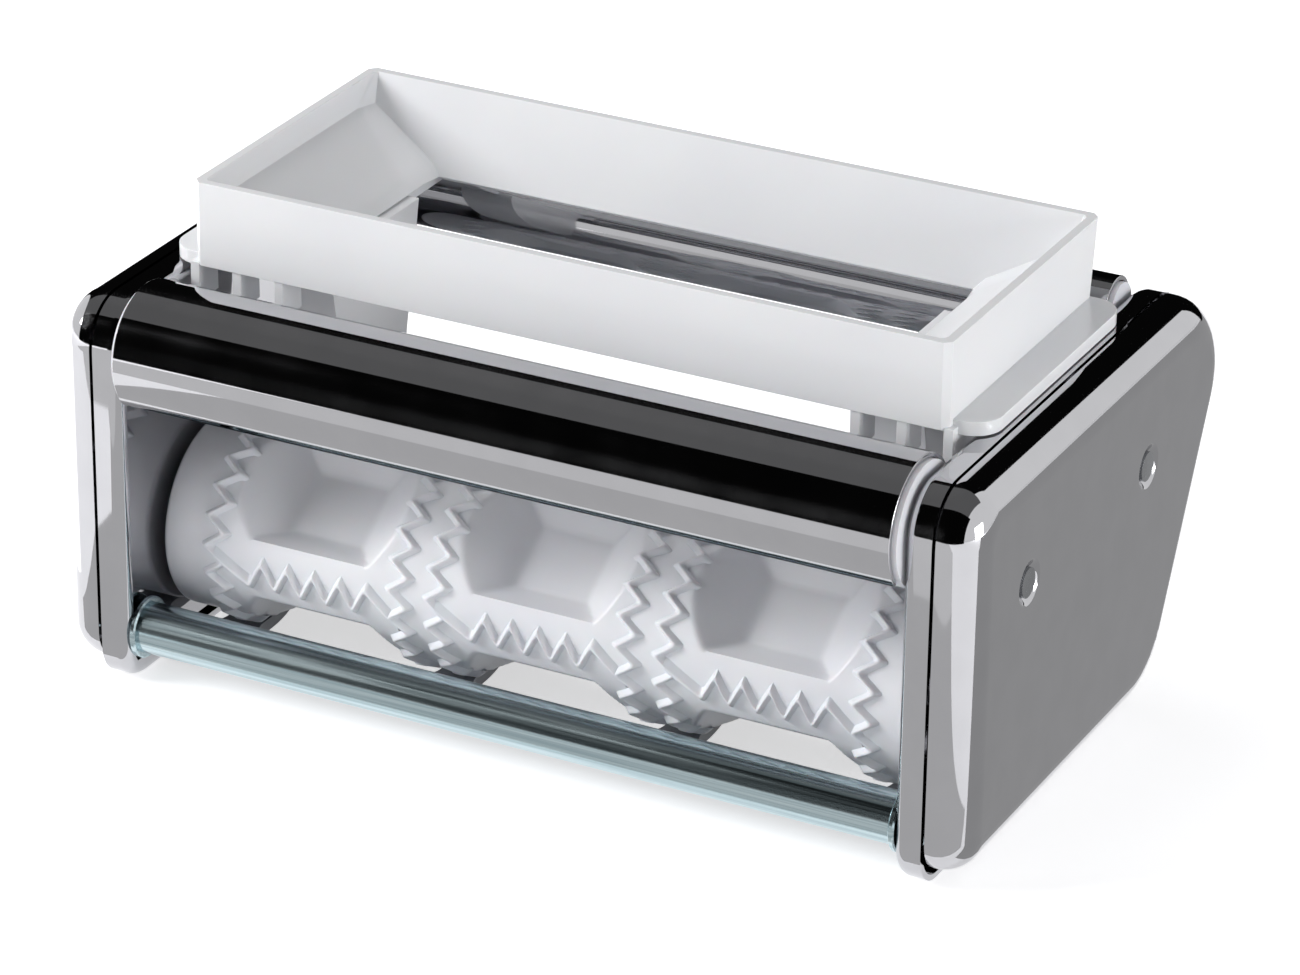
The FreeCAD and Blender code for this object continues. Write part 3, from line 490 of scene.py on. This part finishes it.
# Rolled sheets: strips bent round their end plugs. Each arc is its radius and where it starts and ends,
# in degrees up from the front. The plugs fill the main arc, and the lead runs on from its start, more widely.
sheets = {
    "front_fender": {"sheet": 1.0, "main": (13.3, -41, 204), "lead": None, "rearLeg": 0, "softEdge": 0.2},
    "rear_guide": {"sheet": 1.0, "main": (6.3, 40, 180), "lead": (13.0, -35, 40), "rearLeg": 5,
                   "softEdge": 0.2},
}
sheetSteps = 60


# Sweeps the section on round a centre, and returns the edges where it ends
def sweepSection(shape, edges, centre, degrees, steps):
    swept = bmesh.ops.spin(shape, geom=vertsOf(edges) + edges, cent=centre, axis=(1, 0, 0),
                           angle=math.radians(degrees), steps=steps)
    return onlyEdges(swept["geom_last"])


def rolledSheet(nodeName, sheet):
    low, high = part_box(nodeName)
    outer, start, end = sheet["main"]
    inner = outer - sheet["sheet"]
    turn = math.radians(start)
    corners = ((low.x / mm, outer), (high.x / mm, outer), (high.x / mm, inner), (low.x / mm, inner))
    shape = bmesh.new()
    first = loopOfEdges(shape, [(across, -radius * math.cos(turn), radius * math.sin(turn))
                                for across, radius in corners])
    rims = [sweepSection(shape, first, (0, 0, 0), start - end, sheetSteps), first]
    if sheet["rearLeg"]:
        grown = bmesh.ops.extrude_edge_only(shape, edges=rims[0])["geom"]
        bmesh.ops.translate(shape, verts=onlyVerts(grown), vec=(0, 0, -sheet["rearLeg"]))
        rims[0] = onlyEdges(grown)
    if sheet["lead"]:
        wide, leadStart, leadEnd = sheet["lead"]
        centre = (0, (wide - outer) * math.cos(turn), (outer - wide) * math.sin(turn))
        rims[1] = sweepSection(shape, first, centre, leadEnd - leadStart, sheetSteps // 2)
    for rim in rims:
        bmesh.ops.contextual_create(shape, geom=rim)
    bmesh.ops.scale(shape, verts=shape.verts, vec=(mm, mm, mm))
    bmesh.ops.translate(shape, verts=shape.verts, vec=(0, low.y + outer * mm, high.z - outer * mm))
    bmesh.ops.recalc_face_normals(shape, faces=shape.faces)
    finishPiece(pieceName(nodeName), shape, [nodeName], softEdge=sheet["softEdge"])


for nodeName, sheet in sheets.items():
    rolledSheet(nodeName, sheet)

# Tie rods: a drawn bar with a collar against each plate and a spigot through it
rod = {"radius": 5.2, "collarRadius": 6.3, "collarLength": 1.3, "spigotRadius": 2.5, "edge": 0.3, "steps": 72,
       "weld": 0.001}


def tieRod(nodeName):
    low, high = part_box(nodeName)
    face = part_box("right_inner_plate")[0].x / mm
    end = high.x / mm
    edge = rod["edge"]
    collar = face - rod["collarLength"]
    rim = rod["collarRadius"]
    spigot = rod["spigotRadius"]
    profile = [(collar, rod["radius"]), (collar, rim - edge), (collar + edge, rim), (face - edge, rim),
               (face, rim - edge), (face, spigot), (end - edge, spigot), (end, spigot - edge), (end, 0)]
    shape = bmesh.new()
    verts = [shape.verts.new((along * mm, 0, radius * mm))
             for along, radius in [(-along, radius) for along, radius in reversed(profile)] + profile]
    edges = [shape.edges.new(pair) for pair in zip(verts, verts[1:])]
    bmesh.ops.spin(shape, geom=verts + edges, cent=(0, 0, 0), axis=(1, 0, 0), angle=2 * math.pi,
                   steps=rod["steps"], use_merge=True)
    bmesh.ops.remove_doubles(shape, verts=shape.verts, dist=rod["weld"] * mm)
    bmesh.ops.translate(shape, verts=shape.verts, vec=(0, (low.y + high.y) / 2, (low.z + high.z) / 2))
    bmesh.ops.recalc_face_normals(shape, faces=shape.faces)
    finishPiece(pieceName(nodeName), shape, [nodeName])


tieRod("front_tie_rod")
tieRod("rear_tie_rod")
print("sheets and rods made")

# Side panels: a shallow inner plate and a deeper outer cover, both pressed from one outline
panel = {
    "front": -58.3, "length": 91.5, "height": 81.7, "slope": 26.4, "radii": (8.0, 10.0, 18.0, 20.0),
    "cornerSteps": 14, "edgeSteps": 9, "wall": 1.2,
    "plateRadius": 2.6, "coverRadius": 7.6, "coverInside": 4.2,
}
# Radii of the holes and where they sit. The dimple is a row of radii and depths.
holes = {
    "bush": 7.1, "spigot": 2.6, "combPeg": 1.2, "peg": 1.7, "crank": 8.0, "circleSteps": 40,
    "combPegs": ((-39.5, 3.2), (25.5, 3.2)), "screws": ((-33.5, 56.2), (23.5, 56.2)), "screwHole": 1.6,
    "sheetPegs": ((-48.6, 71.3), (42.5, 76.2)),
    "dimple": ((4.9, 0), (4.5, 0.12), (4.0, 0.55), (3.5, 1.2), (3.2, 1.6)),
}


# The outline as pairs of Y and Z. Its four corners turn about the same points at any inset.
def panelOutline(inset, lift):
    slope = math.radians(panel["slope"])
    rearReach = (panel["front"] + panel["length"]) * math.cos(slope)
    sides = [(270, -lift), (180, -panel["front"]), (90, panel["height"]), (-panel["slope"], rearReach),
             (-90, -lift)]
    points = []
    for (fromAngle, fromReach), (toAngle, toReach), radius in zip(sides, sides[1:], panel["radii"]):
        start = math.radians(fromAngle)
        end = math.radians(toAngle)
        near = fromReach - radius
        far = toReach - radius
        middleY = (near * math.sin(end) - far * math.sin(start)) / math.sin(end - start)
        middleZ = (far * math.cos(start) - near * math.cos(end)) / math.sin(end - start)
        for step in range(panel["cornerSteps"] + 1):
            turn = start + (end - start) * step / panel["cornerSteps"]
            reach = radius - inset
            points.append((middleY + reach * math.cos(turn), middleZ + reach * math.sin(turn)))
    return points


def circlePoints(middle, radius):
    steps = holes["circleSteps"]
    turns = [2 * math.pi * step / steps for step in range(steps)]
    return [(middle[0] + radius * math.cos(turn), middle[1] + radius * math.sin(turn)) for turn in turns]


# Joins a row of loops with walls. Each loop is its points and how far out it lies.
def wallThrough(shape, side, rows):
    loops = [loopOfEdges(shape, [(side * out, along, up) for along, up in points]) for points, out in rows]
    for near, far in zip(loops, loops[1:]):
        bmesh.ops.bridge_loops(shape, edges=near + far)
    return loops


def fillFlat(shape, loops):
    bmesh.ops.triangle_fill(shape, use_beauty=True, edges=[edge for loop in loops for edge in loop])


# The quarter round between the flat of a pressing and its wall, as inset and depth below the flat
def edgeRound(radius):
    turns = [math.pi / 2 * step / panel["edgeSteps"] for step in range(panel["edgeSteps"] + 1)]
    return [(radius * (1 - math.sin(turn)), radius * (1 - math.cos(turn))) for turn in turns]


def finishPanel(nodeName, shape):
    bmesh.ops.scale(shape, verts=shape.verts, vec=(mm, mm, mm))
    bmesh.ops.recalc_face_normals(shape, faces=shape.faces)
    finishPiece(pieceName(nodeName), shape, [nodeName])


def innerPlate(nodeName, side):
    low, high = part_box("right_inner_plate")
    face = low.x / mm
    rim = high.x / mm
    inside = face + panel["wall"]
    shape = bmesh.new()
    rows = [(panelOutline(inset, 0), face + depth) for inset, depth in edgeRound(panel["plateRadius"])]
    rows += [(panelOutline(0, 0), rim), (panelOutline(panel["wall"], 0), rim),
             (panelOutline(panel["wall"], 0), inside)]
    loops = wallThrough(shape, side, rows)
    rods = [sum(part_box(name), Vector()) / 2 / mm for name in ("front_tie_rod", "rear_tie_rod")]
    places = [((axis.y / mm, axis.z / mm), holes["bush"]) for axis in (frontAxis, rearAxis)]
    places += [((middle.y, middle.z), holes["spigot"]) for middle in rods]
    places += [(middle, holes["combPeg"]) for middle in holes["combPegs"]]
    places += [(middle, holes["peg"]) for middle in holes["screws"] + holes["sheetPegs"]]
    circles = [circlePoints(middle, radius) for middle, radius in places]
    bores = [wallThrough(shape, side, [(circle, face), (circle, inside)]) for circle in circles]
    fillFlat(shape, [loops[0]] + [bore[0] for bore in bores])
    fillFlat(shape, [loops[-1]] + [bore[1] for bore in bores])
    finishPanel(nodeName, shape)


def outerCover(nodeName, side):
    low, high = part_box("right_outer_cover")
    rim = low.x / mm
    face = high.x / mm
    lift = low.z / mm
    deepest = holes["dimple"][-1][1]
    inside = face - deepest - panel["wall"]
    shape = bmesh.new()
    rows = [(panelOutline(inset, lift), face - depth) for inset, depth in edgeRound(panel["coverRadius"])]
    rows += [(panelOutline(0, lift), rim), (panelOutline(panel["wall"], lift), rim),
             (panelOutline(panel["wall"], lift), inside - panel["coverInside"]),
             (panelOutline(panel["wall"] + panel["coverInside"], lift), inside)]
    loops = wallThrough(shape, side, rows)
    cuts = []
    for middle in holes["screws"]:
        bowl = [(circlePoints(middle, radius), face - depth) for radius, depth in holes["dimple"]]
        screwHole = circlePoints(middle, holes["screwHole"])
        cuts.append(wallThrough(shape, side, bowl + [(screwHole, face - deepest), (screwHole, inside)]))
    if side < 0:
        crank = circlePoints((frontAxis.y / mm, frontAxis.z / mm), holes["crank"])
        cuts.append(wallThrough(shape, side, [(crank, face), (crank, inside)]))
    fillFlat(shape, [loops[0]] + [bore[0] for bore in cuts])
    fillFlat(shape, [loops[-1]] + [bore[-1] for bore in cuts])
    finishPanel(nodeName, shape)


for side, word in ((-1, "left"), (1, "right")):
    innerPlate(word + "_inner_plate", side)
    outerCover(word + "_outer_cover", side)
print("panels made")

# Hopper: a tray with a thick rim, a funnel with chamfered rear corners, a seat flange, end blocks and ribs.
# The funnel goes down over a step and a neck to its slot, each with its own corner cuts at the rear.
hopper = {
    "half": 80.9, "front": -33.9, "rear": 36.2, "rearFoot": 33.6, "top": 100.8, "skirt": 83.2, "wall": 1.9,
    "outerCut": 1.4, "innerCut": 0.8,
    "step": {"half": 78.9, "front": -31.6, "rear": 31.2, "up": 95.2, "rearCut": (1.6, 4.4)},
    "neck": {"half": 62.2, "front": -25.8, "rear": 26.8, "up": 86.8, "rearCut": (0.8, 7.0)},
    "slot": {"half": 60.0, "front": -25.6, "rear": 25.6, "up": 84.5, "rearCut": (0.8, 5.0)},
    "softEdge": 0.45,
}
flange = {
    "half": 88.4, "front": -31.5, "rear": 33.0, "low": 82.0, "high": 84.8, "corner": 6.0, "cornerSteps": 8,
    "holeHalf": 61.0, "holeFront": -26.6, "holeRear": 30.0,
}
endBlock = {"from": 58.0, "to": 70.0, "steps": ((18.0, 84.0), (12.5, 56.0), (3.0, 42.0))}
rib = {"thick": 2.0, "places": (62.0, 71.5, 81.0), "front": -33.5, "length": 7.0, "low": 75.5, "high": 83.6}


# A level loop of the tray with its four corners cut
def trayLoop(shape, level, cut):
    half, front, rear = level["half"], level["front"], level["rear"]
    acrossCut, alongCut = level.get("rearCut", (cut, cut))
    corners = [(half, front + cut), (half, rear - alongCut), (half - acrossCut, rear),
               (acrossCut - half, rear), (-half, rear - alongCut), (-half, front + cut),
               (cut - half, front), (half - cut, front)]
    return loopOfEdges(shape, [(across, along, level["up"]) for across, along in corners])


def addTray(shape):
    wall = hopper["wall"]
    rim = {"half": hopper["half"], "front": hopper["front"], "rear": hopper["rear"], "up": hopper["top"]}
    foot = dict(rim, rear=hopper["rearFoot"], up=hopper["skirt"])
    inside = dict(rim, half=rim["half"] - wall, front=rim["front"] + wall, rear=rim["rear"] - wall)
    loops = [trayLoop(shape, level, hopper["outerCut"]) for level in (foot, rim)]
    loops += [trayLoop(shape, level, hopper["innerCut"])
              for level in (inside, hopper["step"], hopper["neck"], hopper["slot"])]
    for near, far in zip(loops, loops[1:] + loops[:1]):
        bmesh.ops.bridge_loops(shape, edges=near + far)


def addBlock(shape, low, high):
    made = bmesh.ops.create_cube(shape, size=1)["verts"]
    bmesh.ops.scale(shape, verts=made, vec=[far - near for near, far in zip(low, high)])
    bmesh.ops.translate(shape, verts=made, vec=[(near + far) / 2 for near, far in zip(low, high)])


def addFlange(shape):
    radius = flange["corner"]
    right, back, front = flange["half"] - radius, flange["rear"] - radius, flange["front"] + radius
    middles = ((right, back), (-right, back), (-right, front), (right, front))
    outline = []
    for number, (across, along) in enumerate(middles):
        for step in range(flange["cornerSteps"] + 1):
            angle = math.radians(90 * number + 90 * step / flange["cornerSteps"])
            outline.append((across + radius * math.cos(angle), along + radius * math.sin(angle)))
    hole = [(flange["holeHalf"], flange["holeRear"]), (-flange["holeHalf"], flange["holeRear"]),
            (-flange["holeHalf"], flange["holeFront"]), (flange["holeHalf"], flange["holeFront"])]
    rims = {}
    for word, points in (("outer", outline), ("hole", hole)):
        for up in (flange["low"], flange["high"]):
            rims[word, up] = loopOfEdges(shape, [(across, along, up) for across, along in points])
        bmesh.ops.bridge_loops(shape, edges=rims[word, flange["low"]] + rims[word, flange["high"]])
    for up in (flange["low"], flange["high"]):
        fillFlat(shape, [rims["outer", up], rims["hole", up]])


def addEndBlock(shape, side):
    steps = endBlock["steps"]
    outline = [(nip / mm - half, up) for half, up in steps]
    outline += [(nip / mm + half, up) for half, up in reversed(steps)]
    caps = [loopOfEdges(shape, [(side * out, along, up) for along, up in outline])
            for out in (endBlock["from"], endBlock["to"])]
    bmesh.ops.bridge_loops(shape, edges=caps[0] + caps[1])
    for cap in caps:
        bmesh.ops.contextual_create(shape, geom=cap)


def makeHopper():
    shape = bmesh.new()
    addTray(shape)
    addFlange(shape)
    for side in (-1, 1):
        addEndBlock(shape, side)
        for place in rib["places"]:
            ends = sorted((side * (place - rib["thick"] / 2), side * (place + rib["thick"] / 2)))
            addBlock(shape, (ends[0], rib["front"], rib["low"]),
                     (ends[1], rib["front"] + rib["length"], rib["high"]))
    bmesh.ops.scale(shape, verts=shape.verts, vec=(mm, mm, mm))
    bmesh.ops.recalc_face_normals(shape, faces=shape.faces)
    finishPiece("hopperTray", shape, ["hopper"], softEdge=hopper["softEdge"])


makeHopper()
print("hopper made")

for nodeName in sorted(nodes):
    if not nodes[nodeName].hide_render:
        dressedCopy(nodeName)
print("hardware dressed")


# One where the eye, a mirror or glass looks, and nought for the light that falls on things
def seenRays(tree):
    path = addNode(tree, "ShaderNodeLightPath")
    seen = path.outputs["Is Camera Ray"]
    for name in ("Is Glossy Ray", "Is Transmission Ray"):
        either = addNode(tree, "ShaderNodeMath", {"operation": "MAXIMUM"},
                         links={0: seen, 1: path.outputs[name]})
        seen = either.outputs[0]
    return seen


# The floor stays white to the eye and in the mirrors, and keeps the object's shadow
stageLook = {"floor": "#e6e6e8", "glow": 0.6, "size": 6.0}


def floorMaterial():
    values = {"Base Color": linear(stageLook["floor"]), "Roughness": 0.7, "Specular IOR Level": 0.1,
              "Emission Color": (1, 1, 1, 1)}
    material, tree, shader = newMaterial("PaleFloor", values)
    glow = addNode(tree, "ShaderNodeMath", {"operation": "MULTIPLY"}, {1: stageLook["glow"]},
                   {0: seenRays(tree)})
    tree.links.new(glow.outputs[0], shader.inputs["Emission Strength"])
    return material


def flatSheet(width, depth, place):
    shape = bmesh.new()
    bmesh.ops.create_grid(shape, x_segments=1, y_segments=1, size=0.5)
    bmesh.ops.scale(shape, verts=shape.verts, vec=(width, depth, 1))
    bmesh.ops.translate(shape, verts=shape.verts, vec=place)
    return shape


def stagePiece(name, shape, material):
    mesh = bpy.data.meshes.new(name)
    shape.to_mesh(mesh)
    shape.free()
    piece = bpy.data.objects.new(name, mesh)
    bpy.context.scene.collection.objects.link(piece)
    mesh.materials.append(material)
    return piece


stagePiece("floor", flatSheet(stageLook["size"], stageLook["size"], (0, 0, cadLow.z)), floorMaterial())

# Cards hung round the set, as a product photographer does: dark ones put the black bands in the chrome,
# pale ones its highlights. Only the mirrors see them. The arc cards lie on one arc about the X axis, with
# their angles up from the front of the table; places and lengths are in metres.
arcCards = {
    "frontCard": {"from": 0, "to": 62, "left": -0.9, "right": 0.6, "grey": 0.002},
    "topCard": {"from": 62, "to": 112, "left": -0.9, "right": 0.5, "grey": 0.15},
    "rearCard": {"from": 112, "to": 180, "left": -0.9, "right": 0.24, "grey": 0.003},
}
arcRadius = 0.6
arcSteps = 24
tableCards = {
    "nearTableCard": {"from": (-0.128, -0.17), "to": (0.13, -0.062), "grey": 0.66},
    "farTableCard": {"from": (-0.3, -0.6), "to": (0.13, -0.17), "grey": 0.86},
    "sideTableCard": {"from": (0.1, -0.058), "to": (0.9, 0.9), "grey": 0.42},
    "leftTableCard": {"from": (-0.7, -0.06), "to": (-0.14, 0.3), "grey": 2.4},
}
tableCardLift = 0.0003


# One even tone that no lamp changes
def cardPaint(name, grey):
    return newMaterial(name, {"Base Color": (0, 0, 0, 1), "Specular IOR Level": 0.0,
                              "Emission Color": (grey, grey, grey, 1), "Emission Strength": 1.0})[0]


def hangCard(name, shape, grey):
    piece = stagePiece(name, shape, cardPaint(name + "Paint", grey))
    piece.visible_camera = False
    piece.visible_diffuse = False
    piece.visible_shadow = False
    piece.visible_transmission = False


for cardName, card in arcCards.items():
    shape = bmesh.new()
    start = math.radians(card["from"])
    ends = [shape.verts.new((across, -arcRadius * math.cos(start), arcRadius * math.sin(start)))
            for across in (card["left"], card["right"])]
    bmesh.ops.spin(shape, geom=ends + [shape.edges.new(ends)], cent=(0, 0, 0), axis=(1, 0, 0),
                   angle=math.radians(card["from"] - card["to"]), steps=arcSteps)
    hangCard(cardName, shape, card["grey"])
for cardName, card in tableCards.items():
    (left, front), (right, back) = card["from"], card["to"]
    middle = ((left + right) / 2, (front + back) / 2, cadLow.z + tableCardLift)
    hangCard(cardName, flatSheet(right - left, back - front, middle), card["grey"])

# Large soft lamps, aimed at the middle of the object; places and sizes are in metres
lamps = {
    "leftSoftbox": {"place": (-1.1, -0.7, 0.75), "size": 0.6, "watts": 17.0},
    "lowFront": {"place": (-0.45, -1.3, 0.2), "size": 0.5, "watts": 2.8},
    "rightFill": {"place": (1.3, -0.15, 0.2), "size": 0.5, "watts": 11.0},
    "topSoftbox": {"place": (-0.5, 0.4, 1.2), "size": 0.8, "watts": 4.5},
}


def addLamp(name, values):
    lamp = bpy.data.lights.new(name, "AREA")
    lamp.shape = "SQUARE"
    lamp.size = values["size"]
    lamp.energy = values["watts"]
    holder = bpy.data.objects.new(name, lamp)
    bpy.context.scene.collection.objects.link(holder)
    holder.location = values["place"]
    aim = (cadLow + cadHigh) / 2 - holder.location
    holder.rotation_euler = aim.to_track_quat("-Z", "Y").to_euler()


for lampName, values in lamps.items():
    addLamp(lampName, values)


# Plain white air: full strength to the eye and the mirrors, softer as a light
airStrength = {"seen": 1.0, "light": 0.26}


def plainAir():
    world = bpy.data.worlds.new("PlainAir")
    world.use_nodes = True
    bpy.context.scene.world = world
    tree = world.node_tree
    level = addNode(tree, "ShaderNodeMapRange",
                    values={"To Min": airStrength["light"], "To Max": airStrength["seen"]},
                    links={"Value": seenRays(tree)})
    air = tree.nodes["Background"]
    air.inputs["Color"].default_value = (1, 1, 1, 1)
    tree.links.new(level.outputs["Result"], air.inputs["Strength"])


plainAir()

# The camera stands front right of the object and looks down on it through a long lens
camera = {"place": (0.44747, -0.87485, 0.50993), "azimuth": 26.955, "elevation": 25.602, "roll": 0.732,
          "lens": 152.29, "sensor": 36}


def addCamera():
    lens = bpy.data.cameras.new("camera")
    lens.lens = camera["lens"]
    lens.sensor_width = camera["sensor"]
    lens.sensor_fit = "HORIZONTAL"
    holder = bpy.data.objects.new("camera", lens)
    bpy.context.scene.collection.objects.link(holder)
    tilt = Matrix.Rotation(math.radians(90 - camera["elevation"]), 4, "X")
    turn = Matrix.Rotation(math.radians(camera["azimuth"]), 4, "Z")
    roll = Matrix.Rotation(math.radians(camera["roll"]), 4, "Z")
    holder.matrix_world = Matrix.Translation(camera["place"]) @ turn @ tilt @ roll
    bpy.context.scene.camera = holder


addCamera()
bpy.context.scene.view_settings.view_transform = "Standard"
print("stage, lamps and camera set")
